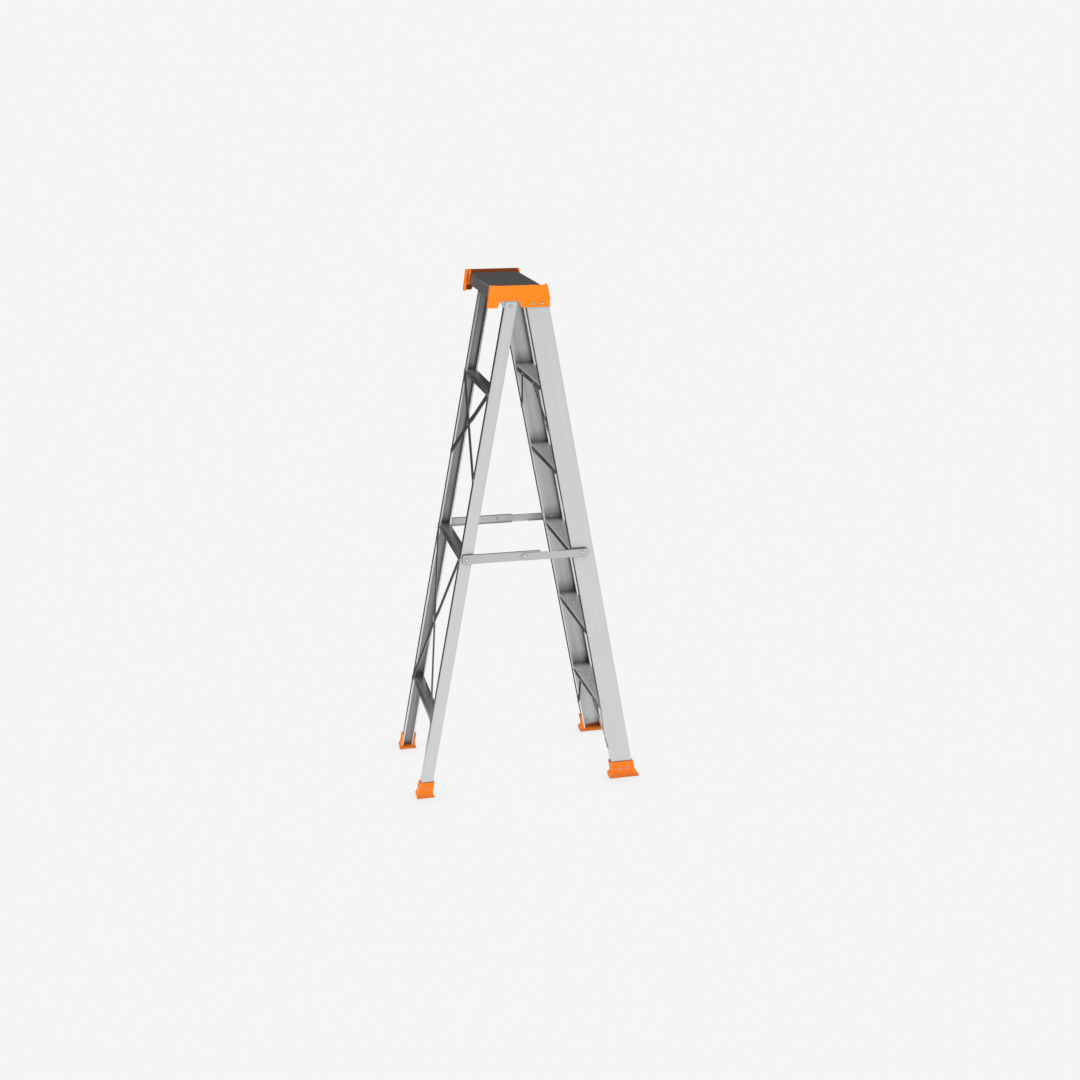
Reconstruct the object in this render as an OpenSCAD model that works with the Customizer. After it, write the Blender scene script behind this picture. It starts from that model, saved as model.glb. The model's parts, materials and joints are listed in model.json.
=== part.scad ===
// Aluminium A-frame step ladder with moulded end caps and boots.
// Millimetres. +Z is up, -Y is the climbing side, left is -X for a person
// who faces the steps. The origin is on the floor at the centre of the base.

/* [Steps] */
// Height from one step to the next
step_pitch = 305; // [250:1:370]
// Height of the lowest step's top face
bottom_step_z = 286; // [240:1:350]
// Height of the front and rear skirts of a step
step_skirt = 21; // [18:1:30]
// Thickness of the step's metal
step_t = 2.2; // [1.6:0.1:2.6]
// Outside radius of a step's bent edges
step_bend = 4; // [3:0.5:6]
// Number of grip ribs along a step
rib_count = 9; // [5:1:12]
// Width of one grip rib
rib_w = 3; // [2:0.5:4]
// Height of a grip rib
rib_h = 0.8; // [0.5:0.1:1.2]

/* [Rails] */
// Width over the outer faces of the two front rails
span = 460; // [380:1:560]
// Angle of each frame from the upright
lean = 10.6; // [8:0.1:13]
// Depth of a front rail, front to rear
front_depth = 78; // [65:1:95]
// Depth of a rear rail, front to rear
rear_depth = 43; // [36:1:52]
// Width of the front rails' flanges
front_flange_w = 26; // [24:1:32]
// Width of the rear rails' flanges
rear_flange_w = 24; // [22:1:30]
// Thickness of the rails' metal
rail_t = 2.5; // [2:0.1:3]
// Depth of the thicker bead along the free edges of the rails' flanges
bead_depth = 6; // [4:0.5:8]
// Width of that bead
bead_w = 3; // [2:0.5:4]
// Radius on the outer corners of the rails
rail_r = 1.6; // [1:0.1:2]

/* [Top] */
// Height from the top step to the platform's top face
top_rise = 339; // [300:1:380]
// Depth from the platform's top face to the hinge axis
hinge_drop = 58; // [52:1:64]
// Distance from the hinge axis to the front rails, square to them
hinge_gap = 52; // [48:1:62]
// Reach of the end caps behind the hinge axis
cap_reach = 69; // [66:1:85]
// Slope of the end caps' rear edge from the upright
cap_slope = 8; // [4:1:10]
// Height of the end caps' rim above the platform
cap_rim = 12; // [8:1:16]
// Depth of the end caps below the platform's top face
cap_drop = 62; // [60:1:72]
// Depth of the caps' end walls and the platform's skirts
skirt = 40; // [36:1:44]
// Thickness of the end caps' side panels and walls
cap_t = 4.5; // [3.5:0.5:5]
// Width of the end caps' front and rear walls
cap_wall_w = 28; // [24:1:32]
// Distance from the caps' rear faces to the platform's rear skirt
skirt_inset = 18; // [17:1:24]
// Thickness of the platform's metal
platform_t = 2.4; // [2:0.1:3]
// Thickness of the hinge brackets
bracket_t = 3.5; // [3:0.5:4]

/* [Rear frame] */
// Height of the top crossbar's top face below the top step
bar_top_drop = 11; // [0:1:20]
// Height of the middle crossbar's top face above the middle step
bar_middle_rise = 15; // [10:1:20]
// Height of the bottom crossbar's top face above the bottom step
bar_bottom_rise = 16; // [10:1:20]
// Height of the crossbars' skirts
bar_skirt = 19; // [16:1:24]
// Thickness of the crossbars' metal
bar_t = 2; // [1.6:0.1:2.4]
// Height that the upper pair of cross braces spans
upper_brace_h = 297; // [250:1:340]
// Width of the cross braces
brace_w = 25; // [18:1:28]
// Thickness of the cross braces
brace_t = 2; // [1.5:0.1:2.5]

/* [Knee braces] */
// Distance of a knee brace's inner rivet from the ladder's middle
knee_x = 86; // [70:1:100]
// Height that a knee brace spans between its rivets
knee_h = 147; // [130:1:165]
// Width of the knee braces
knee_w = 20; // [16:1:24]
// Thickness of the knee braces
knee_t = 2; // [1.5:0.1:2.5]

/* [Boots] */
// Height of the front boots
front_boot_h = 65; // [60:1:75]
// Height of the rear boots
rear_boot_h = 60; // [56:1:70]
// Thickness of the boots' walls
boot_t = 5; // [4:0.5:6]
// Thickness of the boots' soles
sole_t = 8; // [7:0.5:10]
// Reach of the front boots' toe and heel past the rail at the floor
front_toe = 17.5; // [14:0.5:20]
// Reach of the rear boots past the rail at the floor, on the front side
rear_toe = 15; // [12:0.5:18]
// Reach of the rear boots past the rail at the floor, on the rear side
rear_heel = 5; // [3:0.5:9]
// Reach of the boots' heels past the edge of their soles, at their widest
heel_bulge = 3; // [0:0.5:5]
// Height of the heels' widest point
heel_z = 14; // [10:1:18]
// Depth of the grooves under the soles
tread_depth = 2; // [1:0.5:3]

/* [Spreaders] */
// Height of the spreaders' rivets above the middle step
spreader_rise = 10; // [5:1:20]
// Distance of the spreaders' front rivets behind the front rails' middle
spreader_setback = 5.5; // [0:0.5:12]
// Height of the spreader links
link_h = 33; // [28:1:38]
// Thickness of the spreader links
link_t = 3; // [2.5:0.5:3.5]
// Width of the lips turned inwards along the links' edges
lip_w = 5; // [4:1:8]
// Length of the rear link past the middle rivet
link_stop = 58; // [45:1:70]

/* [Rivets] */
// Shank diameter of the fixed rivets
rivet_d = 5; // [4:0.5:6]
// Head diameter of the fixed rivets
rivet_head_d = 10; // [9:0.5:11]
// Shank diameter of the pivot rivets
pivot_d = 7; // [6:0.5:8]
// Head diameter of the pivot rivets
pivot_head_d = 13; // [12:0.5:14]

/* [Hidden] */
$fn = 48;
// Number of steps below the platform, one node each
step_count = 5;
// Gap around a fixed shank and around a turning shank
rivet_fit = 0.05;
pivot_fit = 0.06;
// Gap beside a turning face
running_gap = 0.3;
// Gap where one moulding or channel slides over another
slide_gap = 0.2;
head_h = 2.6;
tail_h = 2;
pivot_tail_d = 11;
// Depth of the holes through one wall and through several
wall_hole = 30;
deep_hole = 80;
// Bend radius of the platform's edges and of the crossbars' edges
platform_bend = 3;
bar_bend = 4;
// Distance of the platform's front skirt and the caps' front wall from the rails
platform_front_gap = 0.4;
// Lip on the free edge of a cap's rear wall, and tab behind the platform's rear skirt
cap_lip_w = 7;
cap_lip_t = 3;
cap_tab_t = 8;
cap_tab_gap = 0.3;
// Step in a cap's front edge below its front wall
cap_step = 4;
// Arch in a cap's lower edge: height over the hinge, half widths, corner, and setback
notch_rise = 19;
notch_half_top = 23;
notch_half_low = 42;
notch_r = 12;
notch_setback = 6;
// Hinge bracket: leg under the platform, tip round the hinge axis, reach to front and rear
bracket_leg = 22;
bracket_tip_r = 18;
bracket_front = 30;
bracket_rear = 42;
// Boots: bare side towards the middle, sole's edge, height of the flares at toe and heel
boot_margin = 4;
boot_lip_z = 4;
front_flare_z = 34;
rear_flare_z = 18;
heel_flare_z = 25;
// Grooves under the soles
groove_count = 5;
groove_w = 3;

half = span / 2;
cos_lean = cos(lean);
tan_lean = tan(lean);
top_step_z = bottom_step_z + (step_count - 1) * step_pitch;
middle_step_z = bottom_step_z + floor((step_count - 1) / 2) * step_pitch;
platform_z = top_step_z + top_rise;
platform_under = platform_z - platform_t;
hinge_z = platform_z - hinge_drop;
cap_top = platform_z + cap_rim;
cap_bottom = platform_z - cap_drop;
skirt_z = platform_z - skirt;

// Horizontal distances that put the base's middle at y = 0
gap_y = hinge_gap / cos_lean;
front_y = front_depth / cos_lean;
rear_half_y = rear_depth / 2 / cos_lean;
hinge_y = (gap_y + front_y + front_toe - rear_half_y - rear_heel - heel_bulge) / 2;

// Faces of the rails at height z, in y
function front_rear_face(z) = hinge_y - gap_y - (hinge_z - z) * tan_lean;
function front_front_face(z) = front_rear_face(z) - front_y;
function rear_middle(z) = hinge_y + (hinge_z - z) * tan_lean;
function rear_rear_face(z) = rear_middle(z) + rear_half_y;
function rear_front_face(z) = rear_middle(z) - rear_half_y;
function front_middle(z) = front_rear_face(z) - front_y / 2;
// Rear edge of the end caps at height z, in y
function cap_rear(z) = hinge_y + cap_reach + (cap_top - z) * tan(cap_slope);
// Height of step number i, counted from the top
function step_z(i) = top_step_z - (i - 1) * step_pitch;

// Places of rivets
step_rivet_x = half - 12;
step_rivet_drop = 11;
bar_rivet_x = half - 14;
bar_rivet_drop = 10;
knee_rivet_x = half - 16;
knee_rivet_drop = 12.5;
cap_rivet_z = cap_bottom + 11;
cap_rivet_pitch = 32;
wall_rivet_x = half - 10;
wall_rivet_z = platform_z - 9;
boot_rivet_z = 38;
boot_rivet_pitch = 30;
boot_wall_rivet_x = half - 14;
boot_wall_rivet_z = 46;

bar_z = [top_step_z - bar_top_drop, middle_step_z + bar_middle_rise, bottom_step_z + bar_bottom_rise];
upper_brace_z = bar_z[0] - bar_rivet_drop;
brace_low_z = upper_brace_z - upper_brace_h;

// Spreader geometry: both links have the same length between rivets
spreader_z = middle_step_z + spreader_rise;
spreader_front_y = front_middle(spreader_z) + spreader_setback;
spreader_rear_y = rear_middle(spreader_z);
link_length = (spreader_rear_y - spreader_front_y) / 2;
link_end = 15;
front_link_end = 21;
link_corner = 3;
tongue_h = link_h - 5;
// Distance from the rear link's stop end to the front link's lips
link_lip_gap = 63;
washer_t = 1;
washer_d = 16;
rear_link_x = half + washer_t + lip_w;
front_link_x = rear_link_x + link_t + running_gap;
// Length of the rails' top end above the hinge, square to the floor
rear_rail_over = 17;
// Height below the hinge at which the rear rails' flanges stop
flange_trim = 14;
// Gap between a crossbar's end and the rail's web, for the tail of a rivet
bar_end_gap = 3;

metal = [0.78, 0.79, 0.80];
bright = [0.88, 0.88, 0.88];
dark_metal = [0.30, 0.31, 0.32];
orange = [1.0, 0.52, 0.13];

// ---------- shared shapes ----------

// Mirrors its children to the right side, for side = 1
module on_side(side) {
  if (side > 0) children();
  else mirror([1, 0, 0]) children();
}

// Extrudes a (y, z) outline along x, from x0 to x1
module along_x(x0, x1) {
  translate([x0, 0, 0]) rotate([90, 0, 90]) linear_extrude(height = x1 - x0) children();
}

// Frames square to a face of the front or rear rails, +y pointing away from the ladder's rear
module at_front_frame(x, y, z) {
  translate([x, y, z]) rotate([-lean, 0, 0]) children();
}
module at_rear_frame(x, y, z) {
  translate([x, y, z]) rotate([lean, 0, 0]) children();
}

// A rivet along y: domed head on +y from y = 0, grip below, upset tail past the grip
module rivet(grip, d = rivet_d, head_d = rivet_head_d, tail_d = rivet_d * 1.5) {
  dome_r = (head_d * head_d / 4 + head_h * head_h) / (2 * head_h);
  rotate([90, 0, 0]) {
    cylinder(d = d, h = grip + tail_h / 2);
    translate([0, 0, grip]) cylinder(d = tail_d, h = tail_h);
    intersection() {
      translate([0, 0, dome_r - head_h]) sphere(r = dome_r, $fn = 64);
      translate([0, 0, -head_h]) cylinder(d = head_d, h = head_h);
    }
  }
}

// A straight hole along y for a rivet
module rivet_hole(depth, d = rivet_d, fit = rivet_fit) {
  rotate([90, 0, 0]) cylinder(d = d + 2 * fit, h = depth, center = true);
}

// Rivets and holes along x, with the head on +x
module rivet_x(grip, d = rivet_d, head_d = rivet_head_d, tail_d = rivet_d * 1.5) {
  rotate([0, 0, -90]) rivet(grip, d, head_d, tail_d);
}
module rivet_hole_x(depth, d = rivet_d, fit = rivet_fit) {
  rotate([0, 90, 0]) cylinder(d = d + 2 * fit, h = depth, center = true);
}

// Section of a rail: web on +x at x = 0, flanges running to -x, depth along y
module rail_section(depth, flange_w) {
  difference() {
    union() {
      translate([-flange_w, 0]) square([flange_w - rail_r, depth]);
      translate([-rail_r - 1, rail_r]) square([rail_r + 1, depth - 2 * rail_r]);
      translate([-rail_r, rail_r]) circle(r = rail_r);
      translate([-rail_r, depth - rail_r]) circle(r = rail_r);
    }
    translate([-flange_w - 1, bead_depth]) square([bead_w + 2, depth - 2 * bead_depth]);
    translate([-flange_w + bead_w, rail_t]) square([flange_w - bead_w - rail_t, depth - 2 * rail_t]);
  }
}

// Space that the beads of a rail need, in that section
module bead_space(depth, flange_w) {
  for (y = [0, depth - bead_depth - slide_gap])
    translate([-flange_w - slide_gap, y])
      square([bead_w + 2 * slide_gap, bead_depth + slide_gap]);
}

// Points of an arc in a (y, z) outline
function arc_points(cy, cz, r, a0, a1, n = 5) =
  [for (i = [0 : n]) [cy + r * cos(a0 + (a1 - a0) * i / n), cz + r * sin(a0 + (a1 - a0) * i / n)]];

// Channel that nests between sloping flanges. (y, z) outline, top face at z = 0,
// rear edge at y = 0, width w; its skirts follow the slope s, in y per unit of z.
module nested_channel(w, skirt_h, t, s, bend) {
  th = t * sqrt(1 + s * s);
  outer = concat(
    [[-s * skirt_h, -skirt_h]],
    arc_points(-bend - s * bend, -bend, bend, 0, 90),
    arc_points(-w + bend - s * bend, -bend, bend, 90, 180),
    [[-w - s * skirt_h, -skirt_h]]
  );
  inner = [
    [-w + th - s * skirt_h, -skirt_h],
    [-w + th - s * (t + 1), -t - 1],
    [-w + th + 1, -t],
    [-th - 1 - s * t, -t],
    [-th - s * (t + 1), -t - 1],
    [-th - s * skirt_h, -skirt_h]
  ];
  polygon(concat(outer, inner));
}

// ---------- front frame ----------

front_inner_w = (front_depth - 2 * (rail_t + slide_gap)) / cos_lean;
rail_inner_x = half - rail_t - slide_gap;

// Draws a rail's section out along the front frame
module along_front_rail() {
  at_front_frame(half, hinge_y, hinge_z)
    translate([0, -hinge_gap - front_depth, -hinge_z / cos_lean - front_depth])
      linear_extrude(height = (hinge_z + hinge_drop) / cos_lean + 2 * front_depth) children();
}

module front_rail(side) {
  color(metal) on_side(side) difference() {
    intersection() {
      along_front_rail() rail_section(front_depth, front_flange_w);
      translate([0, -hinge_z, sole_t])
        cube([span, 2 * hinge_z, platform_under - sole_t]);
    }
    for (i = [1 : step_count]) {
      z = step_z(i) - step_rivet_drop;
      at_front_frame(step_rivet_x, front_rear_face(z), z) rivet_hole(4 * rail_t);
      at_front_frame(step_rivet_x, front_front_face(z), z) rivet_hole(4 * rail_t);
    }
    for (i = [1, step_count]) {
      z = step_z(i) - knee_rivet_drop - knee_h;
      at_front_frame(knee_rivet_x, front_rear_face(z), z) rivet_hole(4 * rail_t);
    }
    for (k = [-0.5, 0.5]) {
      translate([half, front_middle(cap_rivet_z) + k * cap_rivet_pitch, cap_rivet_z])
        rivet_hole_x(4 * rail_t);
      translate([half, front_middle(boot_rivet_z) + k * boot_rivet_pitch, boot_rivet_z])
        rivet_hole_x(4 * rail_t);
    }
    at_front_frame(boot_wall_rivet_x, front_rear_face(boot_wall_rivet_z), boot_wall_rivet_z)
      rivet_hole(4 * rail_t);
    at_front_frame(boot_wall_rivet_x, front_front_face(boot_wall_rivet_z), boot_wall_rivet_z)
      rivet_hole(4 * rail_t);
    wall_rivet_place(1, -1) rivet_hole(wall_hole);
    translate([half, spreader_front_y, spreader_z])
      rivet_hole_x(4 * rail_t, pivot_d, rivet_fit);
  }
}

module step(i) {
  z = step_z(i);
  has_braces = i == 1 || i == step_count;
  rib_zone = front_inner_w - 2 * step_bend - 2 * rib_w;
  y_rear = front_rear_face(z) - (rail_t + slide_gap) / cos_lean;
  color(metal) difference() {
    translate([0, y_rear, z]) {
      along_x(-rail_inner_x, rail_inner_x)
        nested_channel(front_inner_w, step_skirt, step_t, tan_lean, step_bend);
      for (k = [0 : rib_count - 1])
        translate([0, -step_bend - rib_w - rib_zone * (k + 0.5) / rib_count, 0])
          translate([-rail_inner_x + front_flange_w, -rib_w / 2, -step_t / 2])
            cube([2 * (rail_inner_x - front_flange_w), rib_w, rib_h + step_t / 2]);
    }
    for (side = [-1, 1]) {
      zr = z - step_rivet_drop;
      at_front_frame(side * step_rivet_x, front_rear_face(zr), zr) rivet_hole(6 * rail_t);
      at_front_frame(side * step_rivet_x, front_front_face(zr), zr) rivet_hole(6 * rail_t);
      if (has_braces) {
        zk = z - knee_rivet_drop;
        at_front_frame(side * knee_x, front_rear_face(zk), zk) rivet_hole(6 * rail_t);
      }
      // notches for the rails' beads
      on_side(side) along_front_rail() bead_space(front_depth, front_flange_w);
    }
  }
}

module step_rivets() {
  grip = rail_t + slide_gap + step_t;
  color(bright) for (i = [1 : step_count], side = [-1, 1]) {
    z = step_z(i) - step_rivet_drop;
    at_front_frame(side * step_rivet_x, front_rear_face(z), z) rivet(grip);
    at_front_frame(side * step_rivet_x, front_front_face(z), z) rotate([0, 0, 180]) rivet(grip);
  }
}

// Knee brace below step i: a flat strip with a joggle that lifts it from the step's
// skirt onto the rail's flange
module knee_brace(side, i) {
  run = knee_rivet_x - knee_x;
  drop = knee_h / cos_lean;
  length = sqrt(run * run + drop * drop);
  angle = atan2(drop, run);
  lift = rail_t + slide_gap;
  reach = (half - front_flange_w - knee_x - knee_w / 2 * sin(angle)) / cos(angle) - 2;
  ramp = 3 * lift;
  z = step_z(i) - knee_rivet_drop;
  color(metal) on_side(side) at_front_frame(knee_x, front_rear_face(z), z)
    translate([0, -lift, 0]) rotate([0, angle, 0]) difference() {
      intersection() {
        translate([0, 0, -knee_w / 2]) linear_extrude(height = knee_w)
          polygon([
            [-knee_w, 0], [reach - ramp, 0], [reach, lift], [length + knee_w, lift],
            [length + knee_w, lift + knee_t], [reach, lift + knee_t],
            [reach - ramp, knee_t], [-knee_w, knee_t]
          ]);
        union() {
          rotate([-90, 0, 0]) cylinder(d = knee_w, h = 3 * lift);
          translate([length, 0, 0]) rotate([-90, 0, 0]) cylinder(d = knee_w, h = 3 * lift);
          translate([0, 0, -knee_w / 2]) cube([length, 3 * lift, knee_w]);
        }
      }
      rivet_hole(6 * rail_t);
      translate([length, 0, 0]) rivet_hole(6 * rail_t);
    }
}

module knee_brace_rivets() {
  color(bright) for (i = [1, step_count], side = [-1, 1]) {
    z = step_z(i) - knee_rivet_drop;
    zb = z - knee_h;
    at_front_frame(side * knee_x, front_rear_face(z), z)
      translate([0, knee_t - rail_t - slide_gap, 0]) rivet(knee_t + step_t);
    at_front_frame(side * knee_rivet_x, front_rear_face(zb), zb)
      translate([0, knee_t, 0]) rivet(knee_t + rail_t);
  }
}

// ---------- top ----------

module top_platform() {
  front_top = front_front_face(platform_z) - platform_front_gap;
  front_low = front_front_face(skirt_z) - platform_front_gap;
  rear_top = cap_rear(platform_z) - skirt_inset;
  rear_low = cap_rear(skirt_z) - skirt_inset;
  slope_s = (rear_low - rear_top) / (platform_z - skirt_z);
  x1 = half - 0.2;
  color(dark_metal) difference() {
    along_x(-x1, x1) polygon(concat(
      [[rear_low, skirt_z]],
      arc_points(rear_top - platform_bend, platform_z - platform_bend, platform_bend, 0, 90),
      arc_points(front_top - platform_t + platform_bend, platform_z - platform_bend,
        platform_bend, 90, 180),
      [[front_low - platform_t, skirt_z], [front_low, skirt_z]],
      [[front_front_face(platform_under) - platform_front_gap, platform_under]],
      [[rear_top - platform_t + slope_s * platform_t, platform_under]],
      [[rear_low - platform_t, skirt_z]]
    ));
    for (side = [-1, 1]) {
      wall_rivet_place(side, 1) rivet_hole(deep_hole);
      wall_rivet_place(side, -1) rivet_hole(wall_hole);
    }
  }
}

// Place of the rivet in a cap's rear wall (end = 1) or front wall (end = -1)
module wall_rivet_place(side, end) {
  if (end > 0)
    translate([side * wall_rivet_x, cap_rear(wall_rivet_z), wall_rivet_z])
      rotate([cap_slope, 0, 0]) children();
  else
    translate([side * wall_rivet_x, cap_front(wall_rivet_z), wall_rivet_z])
      rotate([-lean, 0, 0]) rotate([0, 0, 180]) children();
}

function cap_front(z) = front_front_face(z) - platform_front_gap - platform_t - slide_gap - cap_t;

// Arch in the lower edge of a cap's panel, which leaves the rear rail's end free
module cap_notch() {
  top = hinge_z + notch_rise - notch_r;
  y_mid = hinge_y + notch_setback;
  polygon(concat(
    [[y_mid + notch_half_low, cap_bottom - 1]],
    arc_points(y_mid + notch_half_top, top, notch_r, 10, 90),
    arc_points(y_mid - notch_half_top, top, notch_r, 90, 170),
    [[y_mid - notch_half_low, cap_bottom - 1]]
  ));
}

module end_cap(side) {
  inner_x = half + running_gap;
  outer_x = inner_x + cap_t;
  wall_x = outer_x - cap_wall_w;
  tab = cap_tab_gap - skirt_inset;
  color(orange) on_side(side) difference() {
    union() {
      // side panel with its rim
      along_x(inner_x, outer_x) difference() {
        polygon([
          [cap_rear(cap_bottom), cap_bottom], [cap_rear(cap_top), cap_top],
          [cap_front(cap_top), cap_top], [cap_front(skirt_z), skirt_z],
          [cap_front(skirt_z) + cap_step, skirt_z - cap_step / 2],
          [cap_front(cap_bottom) + cap_step, cap_bottom]
        ]);
        cap_notch();
      }
      // rear wall
      along_x(wall_x, outer_x) polygon([
        [cap_rear(cap_bottom), cap_bottom], [cap_rear(cap_top), cap_top],
        [cap_rear(cap_top) - cap_t, cap_top], [cap_rear(cap_bottom) - cap_t, cap_bottom]
      ]);
      // lip that stiffens the rear wall's free edge
      along_x(wall_x, wall_x + cap_lip_t) polygon([
        [cap_rear(cap_bottom), cap_bottom], [cap_rear(cap_top), cap_top],
        [cap_rear(cap_top) - cap_lip_w, cap_top], [cap_rear(cap_bottom) - cap_lip_w, cap_bottom]
      ]);
      // tab that backs the platform's rear skirt
      along_x(wall_x, outer_x - 1) polygon([
        [cap_rear(skirt_z) + tab + cap_tab_t, skirt_z],
        [cap_rear(cap_top) + tab + cap_tab_t, cap_top],
        [cap_rear(cap_top) + tab, cap_top],
        [cap_rear(skirt_z) + tab, skirt_z]
      ]);
      // front wall
      along_x(wall_x, outer_x) polygon([
        [cap_front(skirt_z), skirt_z], [cap_front(cap_top), cap_top],
        [cap_front(cap_top) + cap_t, cap_top], [cap_front(skirt_z) + cap_t, skirt_z]
      ]);
    }
    for (k = [-0.5, 0.5])
      translate([half, front_middle(cap_rivet_z) + k * cap_rivet_pitch, cap_rivet_z])
        rivet_hole_x(4 * cap_t);
    wall_rivet_place(1, 1) rivet_hole(deep_hole);
    wall_rivet_place(1, -1) rivet_hole(wall_hole);
  }
}

module end_cap_rivets() {
  side_grip = cap_t + running_gap + rail_t;
  rear_grip = (skirt_inset + platform_t) * cos(cap_slope);
  front_grip = (cap_t + slide_gap + platform_t + platform_front_gap) * cos_lean + rail_t;
  color(bright) for (side = [-1, 1]) {
    on_side(side) for (k = [-0.5, 0.5])
      translate([half + side_grip - rail_t, front_middle(cap_rivet_z) + k * cap_rivet_pitch, cap_rivet_z])
        rivet_x(side_grip);
    wall_rivet_place(side, 1) rivet(rear_grip);
    wall_rivet_place(side, -1) rivet(front_grip);
  }
}

// Plate under the platform that carries the rear rail's pivot
bracket_x = half - rail_t - running_gap;
module hinge_bracket(side) {
  y0 = hinge_y;
  z0 = hinge_z;
  top = platform_under;
  color(metal) on_side(side) difference() {
    union() {
      along_x(bracket_x - bracket_t, bracket_x) polygon(concat(
        [[y0 - bracket_front, top], [y0 - bracket_front + 8, z0 + 12]],
        arc_points(y0, z0, bracket_tip_r, 180, 340, 10),
        [[y0 + bracket_rear - 14, z0 - 2], [y0 + bracket_rear - 6, z0 + 16], [y0 + bracket_rear, top]]
      ));
      translate([bracket_x - bracket_leg, y0 - bracket_front, top - bracket_t])
        cube([bracket_leg, bracket_front + bracket_rear, bracket_t]);
    }
    translate([half, y0, z0]) rivet_hole_x(10 * rail_t, pivot_d, pivot_fit);
  }
}

module hinge_rivet(side) {
  color(bright) on_side(side) translate([half + running_gap, hinge_y, hinge_z])
    rivet_x(rail_t + 2 * running_gap + bracket_t, pivot_d, pivot_tail_d, pivot_tail_d);
}

// ---------- boots ----------

// A boot round a rail's end. y_lo and y_hi are the rail's faces at the floor, s their slope,
// toe and heel the reach of the sole past them, toe_z the height of the toe's flare, and h
// the boot's height. The toe points to the climbing side.
module boot(side, y_lo, y_hi, s, toe, heel, toe_z, h) {
  outer_x = half + slide_gap + boot_t;
  inner_x = half - front_flange_w - boot_margin;
  wall = boot_t + slide_gap;
  pitch = (y_hi + heel - y_lo + toe) / (groove_count + 1);
  on_side(side) difference() {
    along_x(inner_x, outer_x) polygon([
      [y_lo - toe, 0], [y_hi + heel, 0], [y_hi + heel + heel_bulge, heel_z],
      [y_hi + s * heel_flare_z + wall, heel_flare_z], [y_hi + s * h + wall, h],
      [y_lo + s * h - wall, h], [y_lo + s * toe_z - wall, toe_z],
      [y_lo - toe, boot_lip_z]
    ]);
    // space for the rail's end
    along_x(inner_x - 1, half + slide_gap) polygon([
      [y_lo + s * sole_t - slide_gap, sole_t], [y_hi + s * sole_t + slide_gap, sole_t],
      [y_hi + s * (h + 1) + slide_gap, h + 1], [y_lo + s * (h + 1) - slide_gap, h + 1]
    ]);
    // tread under the sole, closed at both sides
    for (k = [1 : groove_count])
      translate([inner_x + boot_margin, y_lo - toe + k * pitch - groove_w / 2, -1])
        cube([outer_x - inner_x - 2 * boot_margin, groove_w, 1 + tread_depth]);
    // rivet holes
    children();
  }
}

module front_boot(side) {
  color(orange)
    boot(side, front_front_face(0), front_rear_face(0), tan_lean,
         front_toe, front_toe, front_flare_z, front_boot_h) {
      union() {
        for (k = [-0.5, 0.5])
          translate([half, front_middle(boot_rivet_z) + k * boot_rivet_pitch, boot_rivet_z])
            rivet_hole_x(4 * boot_t);
        at_front_frame(boot_wall_rivet_x, front_rear_face(boot_wall_rivet_z), boot_wall_rivet_z)
          rivet_hole(4 * boot_t);
        at_front_frame(boot_wall_rivet_x, front_front_face(boot_wall_rivet_z), boot_wall_rivet_z)
          rivet_hole(4 * boot_t);
      }
    }
}

module rear_boot(side) {
  color(orange)
    boot(side, rear_front_face(0), rear_rear_face(0), -tan_lean,
         rear_toe, rear_heel, rear_flare_z, rear_boot_h) {
      union() {
        translate([half, rear_middle(boot_rivet_z), boot_rivet_z]) rivet_hole_x(4 * boot_t);
        at_rear_frame(boot_wall_rivet_x, rear_rear_face(boot_wall_rivet_z), boot_wall_rivet_z)
          rivet_hole(4 * boot_t);
        at_rear_frame(boot_wall_rivet_x, rear_front_face(boot_wall_rivet_z), boot_wall_rivet_z)
          rivet_hole(4 * boot_t);
      }
    }
}

boot_grip = boot_t + slide_gap + rail_t;
module front_boot_rivets() {
  z = boot_wall_rivet_z;
  wall = (boot_t + slide_gap) * cos_lean;
  y_mid = front_middle(boot_rivet_z);
  color(bright) for (side = [-1, 1]) {
    on_side(side) for (k = [-0.5, 0.5])
      translate([half + boot_grip - rail_t, y_mid + k * boot_rivet_pitch, boot_rivet_z])
        rivet_x(boot_grip);
    at_front_frame(side * boot_wall_rivet_x, front_rear_face(z), z)
      translate([0, wall, 0]) rivet(wall + rail_t);
    at_front_frame(side * boot_wall_rivet_x, front_front_face(z), z)
      rotate([0, 0, 180]) translate([0, wall, 0]) rivet(wall + rail_t);
  }
}

module rear_boot_rivets() {
  z = boot_wall_rivet_z;
  wall = (boot_t + slide_gap) * cos_lean;
  color(bright) for (side = [-1, 1]) {
    on_side(side) translate([half + slide_gap + boot_t, rear_middle(boot_rivet_z), boot_rivet_z])
      rivet_x(boot_grip);
    at_rear_frame(side * boot_wall_rivet_x, rear_rear_face(z), z)
      translate([0, wall, 0]) rivet(wall + rail_t);
    at_rear_frame(side * boot_wall_rivet_x, rear_front_face(z), z)
      rotate([0, 0, 180]) translate([0, wall, 0]) rivet(wall + rail_t);
  }
}

// ---------- rear frame ----------

rear_inner_w = (rear_depth - 2 * (rail_t + slide_gap)) / cos_lean;

// Draws a rail's section out along the rear frame
module along_rear_rail() {
  at_rear_frame(half, hinge_y, hinge_z)
    translate([0, -rear_depth / 2, -hinge_z / cos_lean - rear_depth])
      linear_extrude(height = hinge_z / cos_lean + 3 * rear_depth) children();
}

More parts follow.
